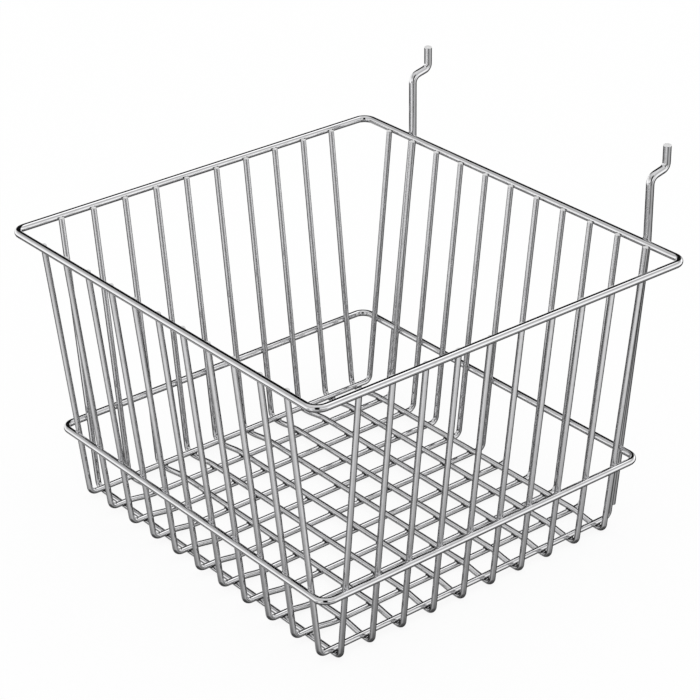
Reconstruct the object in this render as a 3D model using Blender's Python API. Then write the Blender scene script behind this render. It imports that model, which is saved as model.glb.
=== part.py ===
# Slatwall basket made of bent and welded steel wire, with two hook hangers at its back.
# Units are metres and +Z is up. The front wall faces -Y, the hangers are on the back wall at +Y.
# The origin is under the middle of the floor, on the plane that the lowest floor wires rest on.

import math

import bpy
from mathutils import Vector

COLLECTION_NAME = "slatwall_basket"

# Wire diameters
MESH_WIRE = 0.0040
RIM_WIRE = 0.0050
RING_WIRE = 0.0048
HANGER_WIRE = 0.0055

# Gap between two wires that are spot welded to each other
WELD_GAP = 0.0003

# Rim, measured along the wire's centre line
RIM_WIDTH = 0.3150
RIM_DEPTH = 0.2984
RIM_HEIGHT = 0.1990
RIM_CORNER = 0.0080

# Ring part way down the walls: how far it lies inside the rim on every side, and its own bends
RING_INSET = 0.0162
RING_HEIGHT = 0.0538
RING_CORNER = 0.0080

# U-shaped mesh wires: how many, their bends, and how far their tips stand above the rim's middle
FRONT_TO_BACK_WIRES = 11
SIDE_TO_SIDE_WIRES = 10
MESH_BEND = 0.0050
TIP_RISE = 0.0005

# From the rim's side, or its front, to the first mesh wire's tip
SIDE_RIM_MARGIN = 0.0305
FRONT_RIM_MARGIN = 0.0349

# From the end of the straight floor, where the bends begin, to the first mesh wire
SIDE_FLOOR_MARGIN = 0.0024
FRONT_FLOOR_MARGIN = 0.0064

# Hangers: place along the rim, lower end, and the hook's bends above the rim
HANGER_INSET = 0.0420
HANGER_SHIFT = 0.0052
HANGER_FOOT = 0.0090
UPRIGHT_RISE = 0.0440
HOOK_REACH = 0.0140
HOOK_CLIMB = 0.0032
HOOK_TIP = 0.0160
HANGER_KNEE = 0.0120
LOWER_HOOK_BEND = 0.0060
UPPER_HOOK_BEND = 0.0045

# Facets of the wires
MESH_SIDES = 8
FRAME_SIDES = 12
ARC_STEPS = 7
KNEE_STEPS = 3
FLOOR_STEPS = 6

# Chrome plating
CHROME_COLOUR = (0.62, 0.62, 0.63, 1.0)
CHROME_ROUGHNESS = 0.18

RIM_HALF_WIDTH = RIM_WIDTH / 2
RIM_HALF_DEPTH = RIM_DEPTH / 2
RING_HALF_WIDTH = RIM_HALF_WIDTH - RING_INSET
RING_HALF_DEPTH = RIM_HALF_DEPTH - RING_INSET
TIP_HEIGHT = RIM_HEIGHT + TIP_RISE

# Centre heights of the two layers of floor wires
LOW_LAYER = MESH_WIRE / 2
HIGH_LAYER = LOW_LAYER + MESH_WIRE + WELD_GAP

# A wire inside the rim and the ring, or outside them
INSIDE = -1
OUTSIDE = 1


def clear_scene():
    for old in list(bpy.data.objects):
        bpy.data.objects.remove(old, do_unlink=True)


def new_collection():
    collection = bpy.data.collections.new(COLLECTION_NAME)
    bpy.context.scene.collection.children.link(collection)
    return collection


def chrome(name):
    material = bpy.data.materials.new(name)
    material.use_nodes = True
    shader = material.node_tree.nodes["Principled BSDF"]
    shader.inputs["Base Color"].default_value = CHROME_COLOUR
    shader.inputs["Metallic"].default_value = 1.0
    shader.inputs["Roughness"].default_value = CHROME_ROUGHNESS
    return material


def wall_line(rim_half, ring_half, side, diameter):
    """Lean of a straight wire against the rim and the ring, and its distance from the middle at a height."""
    rim_reach = RIM_WIRE / 2 + WELD_GAP + diameter / 2
    ring_reach = RING_WIRE / 2 + WELD_GAP + diameter / 2
    rise = RIM_HEIGHT - RING_HEIGHT
    run = rim_half - ring_half
    lean = math.atan2(run, rise) + side * math.asin((rim_reach - ring_reach) / math.hypot(rise, run))

    def distance(height):
        return rim_half + side * rim_reach / math.cos(lean) + (height - RIM_HEIGHT) * math.tan(lean)

    return lean, distance


def arc(before, corner, after, radius, steps):
    """Points of a bend of the given radius that replaces a sharp corner."""
    back = (before - corner).normalized()
    ahead = (after - corner).normalized()
    half_angle = back.angle(ahead) / 2
    centre = corner + (back + ahead).normalized() * (radius / math.sin(half_angle))
    start = corner + back * (radius / math.tan(half_angle)) - centre
    end = corner + ahead * (radius / math.tan(half_angle)) - centre
    turn = start.angle(end)
    points = []
    for step in range(steps + 1):
        share = step / steps
        along_start = math.sin((1 - share) * turn) / math.sin(turn)
        along_end = math.sin(share * turn) / math.sin(turn)
        points.append(centre + start * along_start + end * along_end)
    return points


def floor_step(place_a, height_a, place_b, height_b):
    """Points of a smooth step between two layers, from one crossing wire to the next."""
    points = []
    for step in range(FLOOR_STEPS + 1):
        share = step / FLOOR_STEPS
        ease = (1 - math.cos(math.pi * share)) / 2
        place = place_a + share * (place_b - place_a)
        height = height_a + ease * (height_b - height_a)
        points.append(Vector((place, height)))
    return points


def wire(name, points, diameter, sides, material, collection, closed=False):
    """A wire along the points, with flat facets one diameter apart that face along the axes."""
    curve = bpy.data.curves.new(name, "CURVE")
    curve.dimensions = "3D"
    curve.twist_mode = "MINIMUM"
    curve.resolution_u = 1
    curve.render_resolution_u = 0
    curve.bevel_depth = diameter / 2 / math.cos(math.pi / sides)
    curve.bevel_resolution = (sides - 4) // 2
    curve.use_fill_caps = True
    spline = curve.splines.new("POLY")
    spline.points.add(len(points) - 1)
    for spline_point, place in zip(spline.points, points):
        spline_point.co = (place.x, place.y, place.z, 1.0)
        spline_point.tilt = math.pi / sides
    spline.use_cyclic_u = closed
    curve.materials.append(material)
    piece = bpy.data.objects.new(name, curve)
    collection.objects.link(piece)
    return piece


def loop_points(half_width, half_depth, radius):
    """A rectangle with round corners, in its own plane."""
    corners = []
    for side_x, side_y in ((1, 1), (-1, 1), (-1, -1), (1, -1)):
        corners.append(Vector((side_x * half_width, side_y * half_depth, 0.0)))
    points = []
    for index, corner in enumerate(corners):
        before = corners[index - 1]
        after = corners[(index + 1) % len(corners)]
        points.extend(arc(before, corner, after, radius, ARC_STEPS))
    return points


def mesh_profile(distance, end_layer_a, end_layer_b, steps):
    """A U-shaped wire in its own plane: down one wall, along the floor and up the other wall."""
    tip_a = Vector((-distance(TIP_HEIGHT), TIP_HEIGHT))
    foot_a = Vector((-distance(end_layer_a), end_layer_a))
    foot_b = Vector((distance(end_layer_b), end_layer_b))
    tip_b = Vector((distance(TIP_HEIGHT), TIP_HEIGHT))
    points = [tip_a]
    points.extend(arc(tip_a, foot_a, Vector((0.0, end_layer_a)), MESH_BEND, ARC_STEPS))
    for step in steps:
        points.extend(step)
    points.extend(arc(Vector((0.0, end_layer_b)), foot_b, tip_b, MESH_BEND, ARC_STEPS))
    points.append(tip_b)
    return points


def mesh_places(rim_half, ring_half, rim_margin, floor_margin, count):
    """Evenly spaced mesh wires: the distance of each from the middle, along the floor and at its tips."""
    lean, distance = wall_line(rim_half, ring_half, INSIDE, MESH_WIRE)
    straight_floor = distance(LOW_LAYER) - MESH_BEND * math.tan((math.pi / 2 - lean) / 2)
    floor_reach = straight_floor - floor_margin
    tip_reach = rim_half - rim_margin
    places = []
    for number in range(count):
        share = 2 * number / (count - 1) - 1
        places.append((share * floor_reach, share * tip_reach))
    return places


def fan_angle(floor_place, tip_place):
    """Lean of a mesh wire's plane, because the tips are further apart than the floor wires."""
    return math.atan2(tip_place - floor_place, TIP_HEIGHT)


def build_rim(collection):
    points = loop_points(RIM_HALF_WIDTH, RIM_HALF_DEPTH, RIM_CORNER)
    rim = wire("top_rim", points, RIM_WIRE, FRAME_SIDES, chrome("rim_chrome"), collection, closed=True)
    rim.location.z = RIM_HEIGHT
    return [rim]


def build_ring(collection):
    points = loop_points(RING_HALF_WIDTH, RING_HALF_DEPTH, RING_CORNER)
    ring = wire("middle_ring", points, RING_WIRE, FRAME_SIDES, chrome("ring_chrome"), collection, closed=True)
    ring.location.z = RING_HEIGHT
    return [ring]


def build_front_to_back_wires(places, crossing_places, collection):
    """The two outer wires lie on all side-to-side wires. The others dip under all but the front one."""
    material = chrome("front_to_back_chrome")
    lean, distance = wall_line(RIM_HALF_DEPTH, RING_HALF_DEPTH, INSIDE, MESH_WIRE)
    dip = floor_step(crossing_places[0][0], HIGH_LAYER, crossing_places[1][0], LOW_LAYER)
    outer_profile = mesh_profile(distance, HIGH_LAYER, HIGH_LAYER, [])
    inner_profile = mesh_profile(distance, HIGH_LAYER, LOW_LAYER, [dip])
    pieces = []
    for number, (floor_place, tip_place) in enumerate(places, start=1):
        profile = outer_profile if number in (1, len(places)) else inner_profile
        points = [Vector((0.0, across, height)) for across, height in profile]
        name = f"front_to_back_wire_{number:02d}"
        piece = wire(name, points, MESH_WIRE, MESH_SIDES, material, collection)
        piece.location.x = floor_place
        piece.rotation_euler.y = fan_angle(floor_place, tip_place)
        pieces.append(piece)
    return pieces


def build_side_to_side_wires(places, crossing_places, collection):
    """The front wire lies under all front-to-back wires. The others rise over all but the outer ones."""
    material = chrome("side_to_side_chrome")
    lean, distance = wall_line(RIM_HALF_WIDTH, RING_HALF_WIDTH, INSIDE, MESH_WIRE)
    climb = floor_step(crossing_places[0][0], LOW_LAYER, crossing_places[1][0], HIGH_LAYER)
    descent = floor_step(crossing_places[-2][0], HIGH_LAYER, crossing_places[-1][0], LOW_LAYER)
    front_profile = mesh_profile(distance, LOW_LAYER, LOW_LAYER, [])
    other_profile = mesh_profile(distance, LOW_LAYER, LOW_LAYER, [climb, descent])
    pieces = []
    for number, (floor_place, tip_place) in enumerate(places, start=1):
        profile = front_profile if number == 1 else other_profile
        points = [Vector((across, 0.0, height)) for across, height in profile]
        name = f"side_to_side_wire_{number:02d}"
        piece = wire(name, points, MESH_WIRE, MESH_SIDES, material, collection)
        piece.location.y = floor_place
        piece.rotation_euler.x = -fan_angle(floor_place, tip_place)
        pieces.append(piece)
    return pieces


def hanger_points():
    """Up the outside of the back wall, straight up above the rim, then back and up into the hook."""
    lean, distance = wall_line(RIM_HALF_DEPTH, RING_HALF_DEPTH, OUTSIDE, HANGER_WIRE)
    upright_place = RIM_HALF_DEPTH + RIM_WIRE / 2 + WELD_GAP + HANGER_WIRE / 2
    knee_height = RIM_HEIGHT + (upright_place - distance(RIM_HEIGHT)) / math.tan(lean)
    foot = Vector((0.0, distance(HANGER_FOOT), HANGER_FOOT))
    knee = Vector((0.0, upright_place, knee_height))
    lower_bend = Vector((0.0, upright_place, RIM_HEIGHT + UPRIGHT_RISE))
    upper_bend = lower_bend + Vector((0.0, HOOK_REACH, HOOK_CLIMB))
    tip = upper_bend + Vector((0.0, 0.0, HOOK_TIP))
    points = [foot]
    points.extend(arc(foot, knee, lower_bend, HANGER_KNEE, KNEE_STEPS))
    points.extend(arc(knee, lower_bend, upper_bend, LOWER_HOOK_BEND, ARC_STEPS))
    points.extend(arc(lower_bend, upper_bend, tip, UPPER_HOOK_BEND, ARC_STEPS))
    points.append(tip)
    return points


def build_hangers(collection):
    material = chrome("hanger_chrome")
    points = hanger_points()
    place = RIM_HALF_WIDTH - HANGER_INSET
    pieces = []
    for name, side in (("left_hanger", -1), ("right_hanger", 1)):
        piece = wire(name, points, HANGER_WIRE, FRAME_SIDES, material, collection)
        piece.location.x = HANGER_SHIFT + side * place
        pieces.append(piece)
    return pieces


def build_basket():
    clear_scene()
    collection = new_collection()
    basket = bpy.data.objects.new("basket_origin", None)
    collection.objects.link(basket)
    across_places = mesh_places(
        RIM_HALF_WIDTH, RING_HALF_WIDTH, SIDE_RIM_MARGIN, SIDE_FLOOR_MARGIN, FRONT_TO_BACK_WIRES
    )
    deep_places = mesh_places(
        RIM_HALF_DEPTH, RING_HALF_DEPTH, FRONT_RIM_MARGIN, FRONT_FLOOR_MARGIN, SIDE_TO_SIDE_WIRES
    )
    pieces = build_rim(collection) + build_ring(collection)
    pieces += build_front_to_back_wires(across_places, deep_places, collection)
    pieces += build_side_to_side_wires(deep_places, across_places, collection)
    pieces += build_hangers(collection)
    for piece in pieces:
        piece.parent = basket


build_basket()
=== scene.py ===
# Looks of the slatwall basket: smooth chrome plated wires, their spot welds and a pale studio.
# Units are metres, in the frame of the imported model. The front wall faces -Y, the hangers are at +Y.

import math

import bmesh
import bpy
from mathutils import Matrix, Vector


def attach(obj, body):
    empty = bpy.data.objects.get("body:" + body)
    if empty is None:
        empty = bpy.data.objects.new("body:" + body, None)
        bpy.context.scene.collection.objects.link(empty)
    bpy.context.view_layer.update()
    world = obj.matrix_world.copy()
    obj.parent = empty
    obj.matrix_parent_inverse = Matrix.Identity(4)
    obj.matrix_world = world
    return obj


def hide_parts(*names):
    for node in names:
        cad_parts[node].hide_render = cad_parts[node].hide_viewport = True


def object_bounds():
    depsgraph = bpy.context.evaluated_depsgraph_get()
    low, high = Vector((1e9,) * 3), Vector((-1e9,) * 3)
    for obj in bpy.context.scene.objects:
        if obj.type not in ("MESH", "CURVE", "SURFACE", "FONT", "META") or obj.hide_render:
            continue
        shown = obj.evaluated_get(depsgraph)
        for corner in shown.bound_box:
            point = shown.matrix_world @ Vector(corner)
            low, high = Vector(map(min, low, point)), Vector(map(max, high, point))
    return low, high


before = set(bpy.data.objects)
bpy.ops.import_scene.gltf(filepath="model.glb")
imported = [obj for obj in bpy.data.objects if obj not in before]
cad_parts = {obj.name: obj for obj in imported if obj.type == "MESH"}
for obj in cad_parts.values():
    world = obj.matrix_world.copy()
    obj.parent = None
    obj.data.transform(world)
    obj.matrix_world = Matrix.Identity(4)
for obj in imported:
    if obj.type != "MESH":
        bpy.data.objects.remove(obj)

BODY = "root"
CAD_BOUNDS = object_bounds()

X_AXIS = Vector((1.0, 0.0, 0.0))
Y_AXIS = Vector((0.0, 1.0, 0.0))
Z_AXIS = Vector((0.0, 0.0, 1.0))

# Wire diameters, as in the source of the part
MESH_WIRE = 0.0040
RIM_WIRE = 0.0050
RING_WIRE = 0.0048
HANGER_WIRE = 0.0055

# How far two welded wires are pressed into each other
WELD_PRESS = 0.0012

# Rim and ring, along their centre lines
RIM_WIDTH = 0.3150
RIM_DEPTH = 0.2984
RIM_HEIGHT = 0.1990
RIM_CORNER = 0.0080
RING_INSET = 0.0162
RING_HEIGHT = 0.0538
RING_CORNER = 0.0080

# U-shaped mesh wires
FRONT_TO_BACK_WIRES = 11
SIDE_TO_SIDE_WIRES = 10
MESH_BEND = 0.0050
TIP_RISE = 0.0005
SIDE_RIM_MARGIN = 0.0305
FRONT_RIM_MARGIN = 0.0349
SIDE_FLOOR_MARGIN = 0.0024
FRONT_FLOOR_MARGIN = 0.0064

# Hangers: how far in from the sides they stand, and how far right of the middle the pair sits
HANGER_INSET = 0.0420
HANGER_SHIFT = 0.0052
HANGER_FOOT = 0.0090
UPRIGHT_RISE = 0.0440
HOOK_REACH = 0.0140
HOOK_CLIMB = 0.0032
HOOK_TIP = 0.0160
HANGER_KNEE = 0.0120
LOWER_HOOK_BEND = 0.0060
UPPER_HOOK_BEND = 0.0045

RIM_HALF_WIDTH = RIM_WIDTH / 2
RIM_HALF_DEPTH = RIM_DEPTH / 2
RING_HALF_WIDTH = RIM_HALF_WIDTH - RING_INSET
RING_HALF_DEPTH = RIM_HALF_DEPTH - RING_INSET
TIP_HEIGHT = RIM_HEIGHT + TIP_RISE
LOW_LAYER = MESH_WIRE / 2
HIGH_LAYER = LOW_LAYER + MESH_WIRE - WELD_PRESS

# A wire inside the rim and the ring, or outside them
INSIDE = -1
OUTSIDE = 1

# How finely the wires are made
MESH_SIDES = 20
FRAME_SIDES = 28
ARC_STEPS = 14
KNEE_STEPS = 8
FLOOR_STEPS = 14
STRAIGHT_STEP = 0.0060
SAME_PLACE = 1e-7

# Cut ends: how high and how far round they are rounded
CUT_ROUND = 0.0009
CUT_TURN = math.radians(76.0)
CUT_STEPS = 5
CUT_GUARD = 0.0002

# Material slots of a wire: its length and its cut ends
WIRE_SLOT = 0
CUT_SLOT = 1

# Spot welds: how far the squeezed metal reaches round a crossing, how square it is, how far its waist
# pulls in, and how far it sinks into the wires
WELD_REACH = 0.97
WELD_SQUARE = 10
WELD_WAIST = 0.10
WELD_SIDES = 16
WELD_LEVELS = 4
WELD_SINK = 0.0002

# Beads of squeezed metal between the wires of the floor
BEAD_REACH = 0.0030
BEAD_HIGH = 0.0015
BEAD_SIDES = 16
BEAD_LEVELS = 8

# Camera, fitted to the wires in the photograph
IMAGE_SIDE = 700
SENSOR = 36.0
CAMERA_TURN = math.radians(50.949)
CAMERA_CLIMB = math.radians(27.874)
CAMERA_ROLL = math.radians(-0.643)
CAMERA_DISTANCE = 1.5615
CAMERA_FOCAL_PIXELS = 2380.4
CAMERA_TARGET = Vector((0.0025, 0.0023, 0.1236))
CAMERA_NEAR = 0.05

# Chrome plating: its colour where it is clean and where it is worn, its grain, and its sharpest and
# dullest gloss
CLEAN_CHROME = (0.66, 0.66, 0.67)
WORN_CHROME = (0.58, 0.575, 0.57)
MESH_GRAIN = 260.0
FRAME_GRAIN = 220.0
HANGER_GRAIN = 200.0
MESH_GLOSS = (0.035, 0.09)
FRAME_GLOSS = (0.035, 0.08)
METAL_GLINT = 0.5

# Painted shade of the welds: near-black colours that stand in for the dark corners where the wires cross
WELD_SHADE = (0.020, 0.020, 0.020)
DEEPER_WELD_SHADE = (0.008, 0.008, 0.008)
WELD_GRAIN = 400.0
WELD_GLOSS = (0.30, 0.60)
WELD_GLINT = 0.15

# Pale matt plating over the cut ends, lighter than the chrome: a painted highlight for their bright caps
PALE_CUT_HIGHLIGHT = (0.74, 0.74, 0.74)
WORN_CUT_HIGHLIGHT = (0.60, 0.60, 0.60)
CUT_GRAIN = 900.0
CUT_GLOSS = (0.35, 0.60)

# Clouds that spread gloss and wear over the plating, and the parts of their range that count
CLOUD_DETAIL = 4.0
CLOUD_ROUGHNESS = 0.6
GLOSS_CLOUD = (0.35, 0.75)
WEAR_CLOUD = (0.5, 0.8)

# Long shallow waves and the fine orange peel of the plating
WAVE_GRAIN = 90.0
WAVE_DETAIL = 1.0
WAVE_STRENGTH = 0.10
WAVE_DEPTH = 0.0002
PEEL_GRAIN = 1100.0
PEEL_DETAIL = 2.0
PEEL_STRENGTH = 0.05
PEEL_DEPTH = 0.00002

# Studio as the metal sees it: brightness all round by the sine of the climb above the horizon
STUDIO_PEAK = 1.85
STUDIO_LEVELS = (
    (-1.00, 0.10),
    (-0.75, 0.18),
    (-0.60, 1.02),
    (-0.45, 0.48),
    (-0.30, 1.63),
    (-0.15, 1.85),
    (0.00, 1.43),
    (0.15, 1.23),
    (0.30, 1.17),
    (0.45, 0.83),
    (0.60, 0.55),
    (0.75, 0.80),
    (1.00, 1.01),
)

# The lower walls of the studio are brightest at the front right and fall off away from it
FRONT_TURN = 320.9
WALL_FALL = 0.98
FALL_START = 0.90
FALL_END = -0.55
FALL_TOP = -0.05
FALL_FULL = -0.40
FALL_BOTTOM = -0.60
FALL_FOOT = -0.78

# A dim belt low at the front right
BAND_AMOUNT = 0.70
BAND_BOTTOM = -0.50
BAND_FULL = -0.28
BAND_HIGH = -0.02
BAND_TOP = 0.10
BAND_SIDE = 0.30
BAND_FRONT = 0.62

# Bright and dark parts of the studio: turn, climb, inner and outer half-width in degrees, amount
LIT_PATCHES = (
    (91.1, 56.7, 4.0, 17.3, 1.00),
)
DARK_PATCHES = (
    (121.7, -26.9, 39.1, 45.4, 0.99),
    (139.4, 25.9, 30.4, 36.6, 0.99),
    (340.0, -17.0, 6.0, 15.0, 0.90),
    (321.0, 10.0, 12.0, 17.0, 0.98),
    (321.0, 27.0, 13.0, 18.0, 0.98),
    (321.0, 44.0, 12.0, 17.0, 0.98),
)
# Pale panels, laid on after the dark parts. They show at the corners, from behind and on the back wires
PALE_PANELS = (
    (100.0, 6.0, 10.0, 22.0, 0.80),
    (141.0, -28.0, 12.0, 24.0, 0.90),
    (203.0, -43.0, 6.0, 14.0, 0.55),
    (283.0, -18.0, 5.0, 13.0, 1.00),
)

# Painted shadow under the basket: a grey filter, which only the metal sees, for the basket's shadow on the
# floor in its reflections. Its size, how much it lets through, where it begins and ends to clear, and how
# far it lies under the floor
CARD_HALF = 0.32
CARD_CLEAR = 0.66
CARD_INNER = 0.14
CARD_OUTER = 0.30
CARD_DROP = 0.0005

# Floor: how much of its white is its own where the camera sees it
FLOOR_HALF = 4.0
FLOOR_COLOUR = 0.97
FLOOR_ROUGHNESS = 0.9
FLOOR_GLOW = 0.88


# Lines of the wires


def wall_line(rim_half, ring_half, side, diameter):
    """Lean of a straight wire against the rim and the ring, and its distance from the middle at a height."""
    rim_reach = RIM_WIRE / 2 - WELD_PRESS + diameter / 2
    ring_reach = RING_WIRE / 2 - WELD_PRESS + diameter / 2
    rise = RIM_HEIGHT - RING_HEIGHT
    run = rim_half - ring_half
    lean = math.atan2(run, rise) + side * math.asin((rim_reach - ring_reach) / math.hypot(rise, run))

    def distance(height):
        return rim_half + side * rim_reach / math.cos(lean) + (height - RIM_HEIGHT) * math.tan(lean)

    return lean, distance


def arc(before, corner, after, radius, steps):
    """Points of a bend of the given radius that replaces a sharp corner."""
    back = (before - corner).normalized()
    ahead = (after - corner).normalized()
    half_angle = back.angle(ahead) / 2
    centre = corner + (back + ahead).normalized() * (radius / math.sin(half_angle))
    start = corner + back * (radius / math.tan(half_angle)) - centre
    end = corner + ahead * (radius / math.tan(half_angle)) - centre
    turn = start.angle(end)
    points = []
    for step in range(steps + 1):
        share = step / steps
        along_start = math.sin((1 - share) * turn) / math.sin(turn)
        along_end = math.sin(share * turn) / math.sin(turn)
        points.append(centre + start * along_start + end * along_end)
    return points


def floor_step(place_a, height_a, place_b, height_b):
    """Points of a smooth step between two layers, from one crossing wire to the next."""
    points = []
    for step in range(FLOOR_STEPS + 1):
        share = step / FLOOR_STEPS
        ease = (1 - math.cos(math.pi * share)) / 2
        place = place_a + share * (place_b - place_a)
        points.append(Vector((place, height_a + ease * (height_b - height_a))))
    return points


def loop_points(half_width, half_depth, radius, height):
    """A level rectangle with round corners."""
    corners = []
    for side_x, side_y in ((1, 1), (-1, 1), (-1, -1), (1, -1)):
        corners.append(Vector((side_x * half_width, side_y * half_depth, height)))
    points = []
    for index, corner in enumerate(corners):
        before = corners[index - 1]
        after = corners[(index + 1) % len(corners)]
        points.extend(arc(before, corner, after, radius, ARC_STEPS))
    return points


def mesh_profile(distance, end_layer_a, end_layer_b, steps):
    """A U-shaped wire in its own plane: down one wall, along the floor and up the other wall."""
    tip_a = Vector((-distance(TIP_HEIGHT), TIP_HEIGHT))
    foot_a = Vector((-distance(end_layer_a), end_layer_a))
    foot_b = Vector((distance(end_layer_b), end_layer_b))
    tip_b = Vector((distance(TIP_HEIGHT), TIP_HEIGHT))
    points = [tip_a]
    points.extend(arc(tip_a, foot_a, Vector((0.0, end_layer_a)), MESH_BEND, ARC_STEPS))
    for step in steps:
        points.extend(step)
    points.extend(arc(Vector((0.0, end_layer_b)), foot_b, tip_b, MESH_BEND, ARC_STEPS))
    points.append(tip_b)
    return points


def mesh_places(rim_half, ring_half, rim_margin, floor_margin, count):
    """Evenly spaced mesh wires: the distance of each from the middle, along the floor and at its tips."""
    lean, distance = wall_line(rim_half, ring_half, INSIDE, MESH_WIRE)
    straight_floor = distance(LOW_LAYER) - MESH_BEND * math.tan((math.pi / 2 - lean) / 2)
    floor_reach = straight_floor - floor_margin
    tip_reach = rim_half - rim_margin
    places = []
    for number in range(count):
        share = 2 * number / (count - 1) - 1
        places.append((share * floor_reach, share * tip_reach))
    return places


def fan_angle(floor_place, tip_place):
    """Lean of a mesh wire's plane, because the tips are further apart than the floor wires."""
    return math.atan2(tip_place - floor_place, TIP_HEIGHT)


def hanger_place(side):
    """Where a hanger stands across the basket."""
    return HANGER_SHIFT + side * (RIM_HALF_WIDTH - HANGER_INSET)


def hanger_points():
    """Up the outside of the back wall, straight up above the rim, then back and up into the hook."""
    lean, distance = wall_line(RIM_HALF_DEPTH, RING_HALF_DEPTH, OUTSIDE, HANGER_WIRE)
    upright_place = RIM_HALF_DEPTH + RIM_WIRE / 2 - WELD_PRESS + HANGER_WIRE / 2
    knee_height = RIM_HEIGHT + (upright_place - distance(RIM_HEIGHT)) / math.tan(lean)
    foot = Vector((0.0, distance(HANGER_FOOT), HANGER_FOOT))
    knee = Vector((0.0, upright_place, knee_height))
    lower_bend = Vector((0.0, upright_place, RIM_HEIGHT + UPRIGHT_RISE))
    upper_bend = lower_bend + Vector((0.0, HOOK_REACH, HOOK_CLIMB))
    tip = upper_bend + Vector((0.0, 0.0, HOOK_TIP))
    points = [foot]
    points.extend(arc(foot, knee, lower_bend, HANGER_KNEE, KNEE_STEPS))
    points.extend(arc(knee, lower_bend, upper_bend, LOWER_HOOK_BEND, ARC_STEPS))
    points.extend(arc(lower_bend, upper_bend, tip, UPPER_HOOK_BEND, ARC_STEPS))
    points.append(tip)
    return points


# Round wires


def spread_points(points, closed):
    """The same line with points added, so that no stretch is longer than one straight step."""
    spread = []
    count = len(points)
    for index in range(count if closed else count - 1):
        start = points[index]
        end = points[(index + 1) % count]
        length = (end - start).length
        if length < SAME_PLACE:
            continue
        pieces = max(1, math.ceil(length / STRAIGHT_STEP))
        for piece in range(pieces):
            spread.append(start.lerp(end, piece / pieces))
    if not closed:
        spread.append(points[-1].copy())
    return spread


def ring_of_points(bm, centre, along, across, radius, sides):
    """One ring of vertices round a wire, square to its direction."""
    other = along.cross(across)
    ring = []
    for side in range(sides):
        angle = 2 * math.pi * side / sides
        ring.append(bm.verts.new(centre + radius * (math.cos(angle) * across + math.sin(angle) * other)))
    return ring


def join_rings(bm, ring_a, ring_b, material_slot=WIRE_SLOT):
    """Smooth faces between two rings of vertices."""
    for index in range(len(ring_a)):
        following = (index + 1) % len(ring_a)
        face = bm.faces.new((ring_a[index], ring_a[following], ring_b[following], ring_b[index]))
        face.smooth = True
        face.material_index = material_slot


def cut_end(bm, ring, end, outward, across, radius, sides):
    """The cut end of a wire: a low rounding and a small flat."""
    last = ring
    for step in range(1, CUT_STEPS + 1):
        angle = CUT_TURN * step / CUT_STEPS
        set_back = CUT_ROUND * (1 - math.sin(angle) / math.sin(CUT_TURN))
        mouth = ring_of_points(bm, end - outward * set_back, outward, across, radius * math.cos(angle), sides)
        join_rings(bm, last, mouth, CUT_SLOT)
        last = mouth
    cap = bm.faces.new(last)
    cap.smooth = True
    cap.material_index = CUT_SLOT


def add_piece(bm, name):
    """An object of the scene with the mesh that was built."""
    mesh = bpy.data.meshes.new(name)
    bm.to_mesh(mesh)
    bm.free()
    piece = bpy.data.objects.new(name, mesh)
    bpy.context.scene.collection.objects.link(piece)
    return piece


def make_wire(name, points, normal, diameter, sides, closed=False):
    """A round wire along points that lie in one plane with the given normal."""
    points = spread_points(points, closed)
    if not closed:
        guard = CUT_ROUND + CUT_GUARD
        points.insert(1, points[0] + (points[1] - points[0]).normalized() * guard)
        points.insert(-1, points[-1] + (points[-2] - points[-1]).normalized() * guard)
    bm = bmesh.new()
    radius = diameter / 2
    rings = []
    count = len(points)
    for index, point in enumerate(points):
        before = points[index - 1] if closed or index > 0 else point
        after = points[(index + 1) % count] if closed or index < count - 1 else point
        along = Vector((0.0, 0.0, 0.0))
        if (point - before).length > 0:
            along += (point - before).normalized()
        if (after - point).length > 0:
            along += (after - point).normalized()
        along.normalize()
        centre = point.copy()
        if not closed and index == 0:
            centre += along * CUT_ROUND
        if not closed and index == count - 1:
            centre -= along * CUT_ROUND
        rings.append(ring_of_points(bm, centre, along, normal, radius, sides))
    for index in range(count if closed else count - 1):
        join_rings(bm, rings[index], rings[(index + 1) % count])
    if not closed:
        cut_end(bm, rings[0], points[0], (points[0] - points[1]).normalized(), normal, radius, sides)
        cut_end(bm, rings[-1], points[-1], (points[-1] - points[-2]).normalized(), normal, radius, sides)
    bmesh.ops.recalc_face_normals(bm, faces=bm.faces)
    return add_piece(bm, name)


def dress(piece, node, slot, *materials):
    """Puts a piece in the place of a CAD node, with its finish."""
    for material in materials:
        piece.data.materials.append(material)
    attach(piece, BODY)
    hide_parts(node)


# Spot welds


def weld(bm, centre, along_a, along_b, out, radius_a, radius_b, top=math.inf):
    """Squeezed metal round a crossing. The inner wire, a, runs along_a, and wire b is at the out side."""
    reach = WELD_REACH * min(radius_a, radius_b)
    rings = []
    for level in range(WELD_LEVELS + 1):
        share = level / WELD_LEVELS
        waist = 1 - WELD_WAIST * math.sin(math.pi * share)
        ring = []
        for side in range(WELD_SIDES):
            angle = 2 * math.pi * side / WELD_SIDES
            roundness = abs(math.cos(angle)) ** WELD_SQUARE + abs(math.sin(angle)) ** WELD_SQUARE
            corner = roundness ** (-1 / WELD_SQUARE)
            place_a = min(reach * corner * waist * math.cos(angle), top)
            place_b = reach * corner * waist * math.sin(angle)
            low = WELD_PRESS / 2 - radius_a + math.sqrt(radius_a ** 2 - place_b ** 2) - WELD_SINK
            high = radius_b - WELD_PRESS / 2 - math.sqrt(radius_b ** 2 - place_a ** 2) + WELD_SINK
            height = low + share * (high - low)
            ring.append(bm.verts.new(centre + along_a * place_a + along_b * place_b + out * height))
        rings.append(ring)
    for index in range(WELD_LEVELS):
        join_rings(bm, rings[index], rings[index + 1])
    bm.faces.new(list(reversed(rings[0])))
    bm.faces.new(rings[-1])


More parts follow.
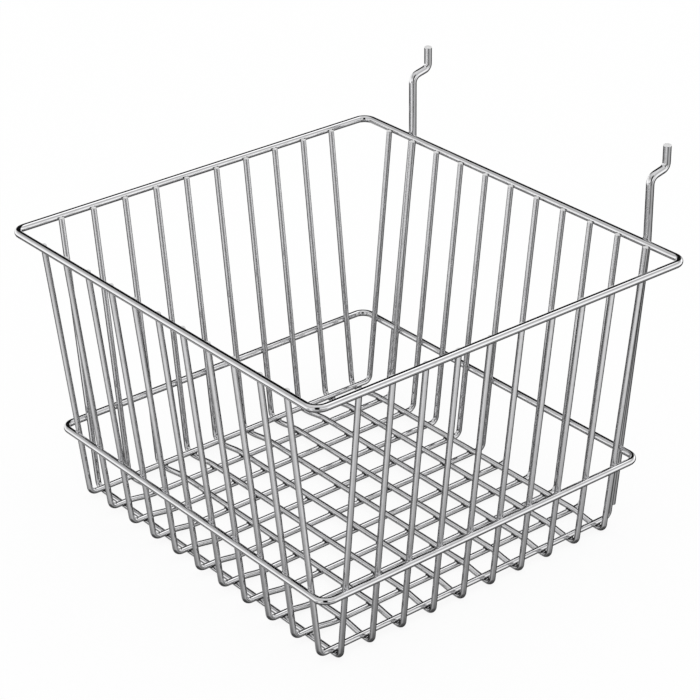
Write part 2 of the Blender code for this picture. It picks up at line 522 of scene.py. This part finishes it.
def bead(bm, centre):
    """A flat bead of squeezed metal between two floor wires, a little wider than they are."""
    rings = []
    for level in range(1, BEAD_LEVELS):
        angle = math.pi * level / BEAD_LEVELS
        middle = centre - Z_AXIS * BEAD_HIGH * math.cos(angle)
        rings.append(ring_of_points(bm, middle, Z_AXIS, X_AXIS, BEAD_REACH * math.sin(angle), BEAD_SIDES))
    for ring_a, ring_b in zip(rings, rings[1:]):
        join_rings(bm, ring_a, ring_b)
    for side, ring in ((-1, rings[0]), (1, rings[-1])):
        pole = bm.verts.new(centre + Z_AXIS * side * BEAD_HIGH)
        for index in range(BEAD_SIDES):
            face = bm.faces.new((pole, ring[index], ring[(index + 1) % BEAD_SIDES]))
            face.smooth = True


def finish_welds(bm, name, material):
    """Makes one piece of a group of welds, in the near-black painted shade of the crossings."""
    bmesh.ops.recalc_face_normals(bm, faces=bm.faces)
    piece = add_piece(bm, name)
    piece.data.materials.append(material)
    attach(piece, BODY)


# Shader nodes


def value_node(tree, kind, **inputs):
    """A node with values in its named sockets."""
    node = tree.nodes.new(kind)
    for key, value in inputs.items():
        node.inputs[key].default_value = value
    return node


def math_node(tree, operation, first, second):
    """A sum, difference or product of two values, each a number or a socket."""
    node = tree.nodes.new("ShaderNodeMath")
    node.operation = operation
    for socket, value in zip(node.inputs, (first, second)):
        if isinstance(value, (int, float)):
            socket.default_value = value
        else:
            tree.links.new(value, socket)
    return node.outputs["Value"]


def vector_node(tree, operation, vector, other, output):
    """A vector operation on a socket and, where it needs one, a second vector."""
    node = tree.nodes.new("ShaderNodeVectorMath")
    node.operation = operation
    tree.links.new(vector, node.inputs[0])
    if other is not None:
        node.inputs[1].default_value = other
    return node.outputs[output]


def value_range(tree, value, start, end, low, high, step="LINEAR"):
    """A straight step from low at the start to high at the end."""
    node = tree.nodes.new("ShaderNodeMapRange")
    node.interpolation_type = step
    node.inputs["From Min"].default_value = start
    node.inputs["From Max"].default_value = end
    node.inputs["To Min"].default_value = low
    node.inputs["To Max"].default_value = high
    tree.links.new(value, node.inputs["Value"])
    return node.outputs["Result"]


def smooth_range(tree, value, start, end, low, high):
    """A soft step from low at the start to high at the end."""
    return value_range(tree, value, start, end, low, high, "SMOOTHSTEP")


def chrome_material(name, clean, worn, grain, gloss, metal=1.0, glint=METAL_GLINT):
    """Bright plating: slightly uneven gloss and tone, a fine orange peel and long shallow waves. The same
    nodes give the welds their painted shade and the cut ends their painted highlight.
    """
    material = bpy.data.materials.new(name)
    material.use_nodes = True
    tree = material.node_tree
    shader = tree.nodes["Principled BSDF"]
    shader.inputs["Metallic"].default_value = metal
    shader.inputs["Specular IOR Level"].default_value = glint
    place = tree.nodes.new("ShaderNodeTexCoord").outputs["Object"]

    cloud = value_node(
        tree, "ShaderNodeTexNoise", Scale=grain, Detail=CLOUD_DETAIL, Roughness=CLOUD_ROUGHNESS
    )
    tree.links.new(place, cloud.inputs["Vector"])
    roughness = value_range(tree, cloud.outputs["Fac"], *GLOSS_CLOUD, *gloss)
    tree.links.new(roughness, shader.inputs["Roughness"])

    tint = tree.nodes.new("ShaderNodeMix")
    tint.data_type = "RGBA"
    tint.inputs["A"].default_value = (*clean, 1.0)
    tint.inputs["B"].default_value = (*worn, 1.0)
    wear = value_range(tree, cloud.outputs["Fac"], *WEAR_CLOUD, 0.0, 1.0)
    tree.links.new(wear, tint.inputs["Factor"])
    tree.links.new(tint.outputs["Result"], shader.inputs["Base Color"])

    wave = value_node(tree, "ShaderNodeTexNoise", Scale=WAVE_GRAIN, Detail=WAVE_DETAIL)
    peel = value_node(tree, "ShaderNodeTexNoise", Scale=PEEL_GRAIN, Detail=PEEL_DETAIL)
    tree.links.new(place, wave.inputs["Vector"])
    tree.links.new(place, peel.inputs["Vector"])
    waves = value_node(tree, "ShaderNodeBump", Strength=WAVE_STRENGTH, Distance=WAVE_DEPTH)
    fine = value_node(tree, "ShaderNodeBump", Strength=PEEL_STRENGTH, Distance=PEEL_DEPTH)
    tree.links.new(wave.outputs["Fac"], waves.inputs["Height"])
    tree.links.new(peel.outputs["Fac"], fine.inputs["Height"])
    tree.links.new(waves.outputs["Normal"], fine.inputs["Normal"])
    tree.links.new(fine.outputs["Normal"], shader.inputs["Normal"])
    return material


# Studio


def direction(turn, climb):
    """Unit vector at a compass turn from +X and a climb above the horizon, both in degrees."""
    turn = math.radians(turn)
    climb = math.radians(climb)
    return (math.cos(climb) * math.cos(turn), math.cos(climb) * math.sin(turn), math.sin(climb))


def patch(tree, ray, turn, climb, inner, outer, amount):
    """A round patch of the studio with a soft edge, as a value from 0 to its amount."""
    nearness = vector_node(tree, "DOT_PRODUCT", ray, direction(turn, climb), "Value")
    edge = math.cos(math.radians(outer))
    full = math.cos(math.radians(inner))
    return smooth_range(tree, nearness, edge, full, 0.0, amount)


def belt(tree, height, foot, low, high, top):
    """A level belt of the studio: 1 between low and high, fading to 0 at its foot and its top."""
    rising = smooth_range(tree, height, foot, low, 0.0, 1.0)
    falling = smooth_range(tree, height, top, high, 0.0, 1.0)
    return math_node(tree, "MULTIPLY", rising, falling)


def dimmed(tree, level, share):
    """A brightness from which a share is taken."""
    return math_node(tree, "MULTIPLY", level, math_node(tree, "SUBTRACT", 1.0, share))


def level_ramp(tree, height):
    """Brightness of the studio by the sine of the climb."""
    ramp = tree.nodes.new("ShaderNodeValToRGB")
    ramp.color_ramp.interpolation = "LINEAR"
    stops = ramp.color_ramp.elements
    for index, (sine, level) in enumerate(STUDIO_LEVELS):
        if index == 0:
            stop = stops[0]
            stop.position = 0.0
        elif index == len(STUDIO_LEVELS) - 1:
            stop = stops[len(stops) - 1]
            stop.position = 1.0
        else:
            stop = stops.new((sine + 1) / 2)
        grey = level / STUDIO_PEAK
        stop.color = (grey, grey, grey, 1.0)
    half = math_node(tree, "MULTIPLY", height, 0.5)
    tree.links.new(math_node(tree, "ADD", half, 0.5), ramp.inputs["Fac"])
    return math_node(tree, "MULTIPLY", ramp.outputs["Color"], STUDIO_PEAK)


def studio_walls(tree, ray):
    """Brightness of the studio's walls, which fall off away from the front and have a dim belt there."""
    split = tree.nodes.new("ShaderNodeSeparateXYZ")
    tree.links.new(ray, split.inputs["Vector"])
    height = split.outputs["Z"]
    level = level_ramp(tree, height)

    flat = vector_node(tree, "MULTIPLY", ray, (1.0, 1.0, 0.0), "Vector")
    ahead = vector_node(tree, "NORMALIZE", flat, None, "Vector")
    front = vector_node(tree, "DOT_PRODUCT", ahead, direction(FRONT_TURN, 0.0), "Value")
    aside = smooth_range(tree, front, FALL_START, FALL_END, 0.0, WALL_FALL)
    lower_walls = belt(tree, height, FALL_FOOT, FALL_BOTTOM, FALL_FULL, FALL_TOP)
    level = dimmed(tree, level, math_node(tree, "MULTIPLY", aside, lower_walls))

    facing = smooth_range(tree, front, BAND_SIDE, BAND_FRONT, 0.0, BAND_AMOUNT)
    low_belt = belt(tree, height, BAND_BOTTOM, BAND_FULL, BAND_HIGH, BAND_TOP)
    return dimmed(tree, level, math_node(tree, "MULTIPLY", facing, low_belt))


def build_world():
    """White for the camera and for matt surfaces, and a studio with dark parts for the metal."""
    world = bpy.data.worlds.new("pale_studio")
    bpy.context.scene.world = world
    world.use_nodes = True
    tree = world.node_tree
    tree.nodes.clear()
    ray = tree.nodes.new("ShaderNodeTexCoord").outputs["Generated"]
    level = studio_walls(tree, ray)
    for lit in LIT_PATCHES:
        level = math_node(tree, "ADD", level, patch(tree, ray, *lit))
    for dark in DARK_PATCHES:
        level = dimmed(tree, level, patch(tree, ray, *dark))
    for panel in PALE_PANELS:
        level = math_node(tree, "ADD", level, patch(tree, ray, *panel))
    rays = tree.nodes.new("ShaderNodeLightPath")
    pick = tree.nodes.new("ShaderNodeMix")
    pick.data_type = "FLOAT"
    pick.inputs["A"].default_value = 1.0
    tree.links.new(rays.outputs["Is Glossy Ray"], pick.inputs["Factor"])
    tree.links.new(level, pick.inputs["B"])
    background = tree.nodes.new("ShaderNodeBackground")
    background.inputs["Color"].default_value = (1.0, 1.0, 1.0, 1.0)
    tree.links.new(pick.outputs["Result"], background.inputs["Strength"])
    output = tree.nodes.new("ShaderNodeOutputWorld")
    tree.links.new(background.outputs["Background"], output.inputs["Surface"])


def level_sheet(name, half_side, height, material):
    """A level square of the studio."""
    bm = bmesh.new()
    bmesh.ops.create_grid(bm, x_segments=1, y_segments=1, size=half_side)
    sheet = add_piece(bm, name)
    sheet.location.z = height
    sheet.data.materials.append(material)
    return sheet


def floor_material():
    """White paper that keeps shadows. Part of its white is its own where the camera sees it."""
    material = bpy.data.materials.new("studio_floor_paper")
    material.use_nodes = True
    tree = material.node_tree
    shader = tree.nodes["Principled BSDF"]
    shader.inputs["Roughness"].default_value = FLOOR_ROUGHNESS
    shader.inputs["Specular IOR Level"].default_value = 0.0
    shader.inputs["Base Color"].default_value = (FLOOR_COLOUR, FLOOR_COLOUR, FLOOR_COLOUR, 1.0)
    glow = tree.nodes.new("ShaderNodeEmission")
    rays = tree.nodes.new("ShaderNodeLightPath")
    blend = tree.nodes.new("ShaderNodeMixShader")
    share = math_node(tree, "MULTIPLY", rays.outputs["Is Camera Ray"], FLOOR_GLOW)
    tree.links.new(share, blend.inputs["Fac"])
    tree.links.new(shader.outputs["BSDF"], blend.inputs[1])
    tree.links.new(glow.outputs["Emission"], blend.inputs[2])
    tree.links.new(blend.outputs["Shader"], tree.nodes["Material Output"].inputs["Surface"])
    return material


def build_floor():
    """The floor under the basket, which the metal doesn't see."""
    floor = level_sheet("studio_floor", FLOOR_HALF, CAD_BOUNDS[0][2], floor_material())
    floor.visible_glossy = False


def shadow_card_material():
    """A grey filter of painted shadow that clears towards its rim, so that the wires' undersides darken
    softly.
    """
    material = bpy.data.materials.new("painted_shadow_filter")
    material.use_nodes = True
    tree = material.node_tree
    tree.nodes.clear()
    place = tree.nodes.new("ShaderNodeTexCoord")
    reach = vector_node(tree, "LENGTH", place.outputs["Object"], None, "Value")
    clear = tree.nodes.new("ShaderNodeBsdfTransparent")
    tree.links.new(smooth_range(tree, reach, CARD_INNER, CARD_OUTER, CARD_CLEAR, 1.0), clear.inputs["Color"])
    output = tree.nodes.new("ShaderNodeOutputMaterial")
    tree.links.new(clear.outputs["BSDF"], output.inputs["Surface"])
    return material


def build_shadow_card():
    """The grey filter of painted shadow, just under the floor."""
    card = level_sheet("painted_shadow_card", CARD_HALF, CAD_BOUNDS[0][2] - CARD_DROP, shadow_card_material())


def build_camera():
    """The camera of the photograph."""
    back = Vector((
        math.sin(CAMERA_TURN) * math.cos(CAMERA_CLIMB),
        -math.cos(CAMERA_TURN) * math.cos(CAMERA_CLIMB),
        math.sin(CAMERA_CLIMB),
    ))
    level_right = Vector((math.cos(CAMERA_TURN), math.sin(CAMERA_TURN), 0.0))
    level_up = back.cross(level_right)
    right = level_right * math.cos(CAMERA_ROLL) + level_up * math.sin(CAMERA_ROLL)
    up = level_up * math.cos(CAMERA_ROLL) - level_right * math.sin(CAMERA_ROLL)
    data = bpy.data.cameras.new("photo_camera")
    data.sensor_fit = "HORIZONTAL"
    data.sensor_width = SENSOR
    data.lens = CAMERA_FOCAL_PIXELS / IMAGE_SIDE * SENSOR
    data.clip_start = CAMERA_NEAR
    camera = bpy.data.objects.new("photo_camera", data)
    bpy.context.scene.collection.objects.link(camera)
    turn = Matrix((right, up, back)).transposed().to_4x4()
    camera.matrix_world = Matrix.Translation(CAMERA_TARGET + back * CAMERA_DISTANCE) @ turn
    bpy.context.scene.camera = camera


# Pieces of the basket


def build_frame(chrome):
    """The rim and the ring."""
    rim = make_wire(
        "chromed_top_rim",
        loop_points(RIM_HALF_WIDTH, RIM_HALF_DEPTH, RIM_CORNER, RIM_HEIGHT),
        Z_AXIS, RIM_WIRE, FRAME_SIDES, closed=True,
    )
    dress(rim, "top_rim", "frame_wire", chrome)
    ring = make_wire(
        "chromed_middle_ring",
        loop_points(RING_HALF_WIDTH, RING_HALF_DEPTH, RING_CORNER, RING_HEIGHT),
        Z_AXIS, RING_WIRE, FRAME_SIDES, closed=True,
    )
    dress(ring, "middle_ring", "frame_wire", chrome)


def build_front_to_back(across_places, deep_places, chrome, cut_end_highlight):
    """Wires of the front wall, the floor and the back wall. The inner ones step down behind the front."""
    distance = wall_line(RIM_HALF_DEPTH, RING_HALF_DEPTH, INSIDE, MESH_WIRE)[1]
    dip = floor_step(deep_places[0][0], HIGH_LAYER, deep_places[1][0], LOW_LAYER)
    outer = mesh_profile(distance, HIGH_LAYER, HIGH_LAYER, [])
    inner = mesh_profile(distance, HIGH_LAYER, LOW_LAYER, [dip])
    for number, (floor_place, tip_place) in enumerate(across_places, start=1):
        profile = outer if number in (1, FRONT_TO_BACK_WIRES) else inner
        spin = Matrix.Rotation(fan_angle(floor_place, tip_place), 4, "Y")
        move = Matrix.Translation(Vector((floor_place, 0.0, 0.0))) @ spin
        points = [move @ Vector((0.0, deep, height)) for deep, height in profile]
        piece = make_wire(
            f"chromed_front_to_back_{number:02d}", points, spin @ X_AXIS, MESH_WIRE, MESH_SIDES
        )
        dress(piece, f"front_to_back_wire_{number:02d}", "mesh_wire", chrome, cut_end_highlight)


def build_side_to_side(across_places, deep_places, chrome, cut_end_highlight):
    """Wires of the left wall, the floor and the right wall. All but the first step up between the sides."""
    distance = wall_line(RIM_HALF_WIDTH, RING_HALF_WIDTH, INSIDE, MESH_WIRE)[1]
    climb = floor_step(across_places[0][0], LOW_LAYER, across_places[1][0], HIGH_LAYER)
    descent = floor_step(across_places[-2][0], HIGH_LAYER, across_places[-1][0], LOW_LAYER)
    front = mesh_profile(distance, LOW_LAYER, LOW_LAYER, [])
    other = mesh_profile(distance, LOW_LAYER, LOW_LAYER, [climb, descent])
    for number, (floor_place, tip_place) in enumerate(deep_places, start=1):
        profile = front if number == 1 else other
        spin = Matrix.Rotation(-fan_angle(floor_place, tip_place), 4, "X")
        move = Matrix.Translation(Vector((0.0, floor_place, 0.0))) @ spin
        points = [move @ Vector((across, 0.0, height)) for across, height in profile]
        piece = make_wire(
            f"chromed_side_to_side_{number:02d}", points, spin @ Y_AXIS, MESH_WIRE, MESH_SIDES
        )
        dress(piece, f"side_to_side_wire_{number:02d}", "mesh_wire", chrome, cut_end_highlight)


def build_hangers(chrome, cut_end_highlight):
    """The two hangers on the outside of the back wall."""
    for side, word in ((-1, "left"), (1, "right")):
        points = [point + X_AXIS * hanger_place(side) for point in hanger_points()]
        piece = make_wire(f"chromed_{word}_hanger", points, X_AXIS, HANGER_WIRE, FRAME_SIDES)
        dress(piece, f"{word}_hanger", "hanger_wire", chrome, cut_end_highlight)


def build_floor_welds(across_places, deep_places, crossing_shade):
    """Welds and beads where every front-to-back wire crosses every side-to-side wire."""
    bm = bmesh.new()
    for across, _ in across_places:
        for deep, _ in deep_places:
            centre = Vector((across, deep, MESH_WIRE - WELD_PRESS / 2))
            weld(bm, centre, X_AXIS, Y_AXIS, Z_AXIS, MESH_WIRE / 2, MESH_WIRE / 2)
            bead(bm, centre)
    finish_welds(bm, "floor_welds", crossing_shade)


def build_wall_welds(across_places, deep_places, crossing_shade):
    """Welds of the wall wires on the rim and on the ring."""
    depth_lean = wall_line(RIM_HALF_DEPTH, RING_HALF_DEPTH, INSIDE, MESH_WIRE)[0]
    width_lean = wall_line(RIM_HALF_WIDTH, RING_HALF_WIDTH, INSIDE, MESH_WIRE)[0]
    for name, height, inset, wire_diameter in (
        ("rim_welds", RIM_HEIGHT, 0.0, RIM_WIRE),
        ("ring_welds", RING_HEIGHT, RING_INSET, RING_WIRE),
    ):
        bm = bmesh.new()
        for places, lean, half, along_rim, outward in (
            (across_places, depth_lean, RIM_HALF_DEPTH, X_AXIS, Y_AXIS),
            (deep_places, width_lean, RIM_HALF_WIDTH, Y_AXIS, X_AXIS),
        ):
            for floor_place, tip_place in places:
                place = floor_place + (tip_place - floor_place) * height / TIP_HEIGHT
                for side in (-1, 1):
                    out = (outward * side * math.cos(lean) - Z_AXIS * math.sin(lean)).normalized()
                    up = (outward * side * math.sin(lean) + Z_AXIS * math.cos(lean)).normalized()
                    middle = along_rim * place + outward * side * (half - inset) + Z_AXIS * height
                    centre = middle - out * (wire_diameter / 2 - WELD_PRESS / 2)
                    top = TIP_HEIGHT - WELD_SINK - height
                    weld(bm, centre, up, along_rim, out, MESH_WIRE / 2, wire_diameter / 2, top)
        finish_welds(bm, name, crossing_shade)


def build_hanger_welds(crossing_shade):
    """Welds of the hangers on the outside of the rim and the ring."""
    bm = bmesh.new()
    lean = wall_line(RIM_HALF_DEPTH, RING_HALF_DEPTH, OUTSIDE, HANGER_WIRE)[0]
    for side in (-1, 1):
        for height, reach, wire_diameter, tilt in (
            (RIM_HEIGHT, RIM_HALF_DEPTH, RIM_WIRE, 0.0),
            (RING_HEIGHT, RING_HALF_DEPTH, RING_WIRE, lean),
        ):
            out = Vector((0.0, math.cos(tilt), -math.sin(tilt)))
            up = Vector((0.0, math.sin(tilt), math.cos(tilt)))
            middle = Vector((hanger_place(side), reach, height))
            centre = middle + out * (wire_diameter / 2 - WELD_PRESS / 2)
            weld(bm, centre, X_AXIS, up, out, wire_diameter / 2, HANGER_WIRE / 2)
    finish_welds(bm, "hanger_welds", crossing_shade)


def build_object():
    """Every piece of the basket, with its finish."""
    mesh_chrome = chrome_material("mesh_wire_chrome", CLEAN_CHROME, WORN_CHROME, MESH_GRAIN, MESH_GLOSS)
    frame_chrome = chrome_material("frame_wire_chrome", CLEAN_CHROME, WORN_CHROME, FRAME_GRAIN, FRAME_GLOSS)
    hanger_chrome = chrome_material(
        "hanger_wire_chrome", CLEAN_CHROME, WORN_CHROME, HANGER_GRAIN, FRAME_GLOSS
    )
    # The welds' near-black colour is painted shade, for the dark corners where the wires cross
    weld_painted_shade = chrome_material(
        "weld_painted_shade", WELD_SHADE, DEEPER_WELD_SHADE, WELD_GRAIN, WELD_GLOSS, metal=0.0, glint=WELD_GLINT
    )
    # The cut ends' pale matt colour is a painted highlight for their bright caps
    cut_end_highlight = chrome_material("cut_end_painted_highlight", PALE_CUT_HIGHLIGHT, WORN_CUT_HIGHLIGHT, CUT_GRAIN, CUT_GLOSS, metal=0.0)

    across_places = mesh_places(
        RIM_HALF_WIDTH, RING_HALF_WIDTH, SIDE_RIM_MARGIN, SIDE_FLOOR_MARGIN, FRONT_TO_BACK_WIRES
    )
    deep_places = mesh_places(
        RIM_HALF_DEPTH, RING_HALF_DEPTH, FRONT_RIM_MARGIN, FRONT_FLOOR_MARGIN, SIDE_TO_SIDE_WIRES
    )
    build_frame(frame_chrome)
    build_front_to_back(across_places, deep_places, mesh_chrome, cut_end_highlight)
    build_side_to_side(across_places, deep_places, mesh_chrome, cut_end_highlight)
    build_hangers(hanger_chrome, cut_end_highlight)
    build_floor_welds(across_places, deep_places, weld_painted_shade)
    build_wall_welds(across_places, deep_places, weld_painted_shade)
    build_hanger_welds(weld_painted_shade)


build_world()
build_floor()
build_shadow_card()
build_camera()
build_object()
bpy.context.scene.view_settings.view_transform = "Standard"
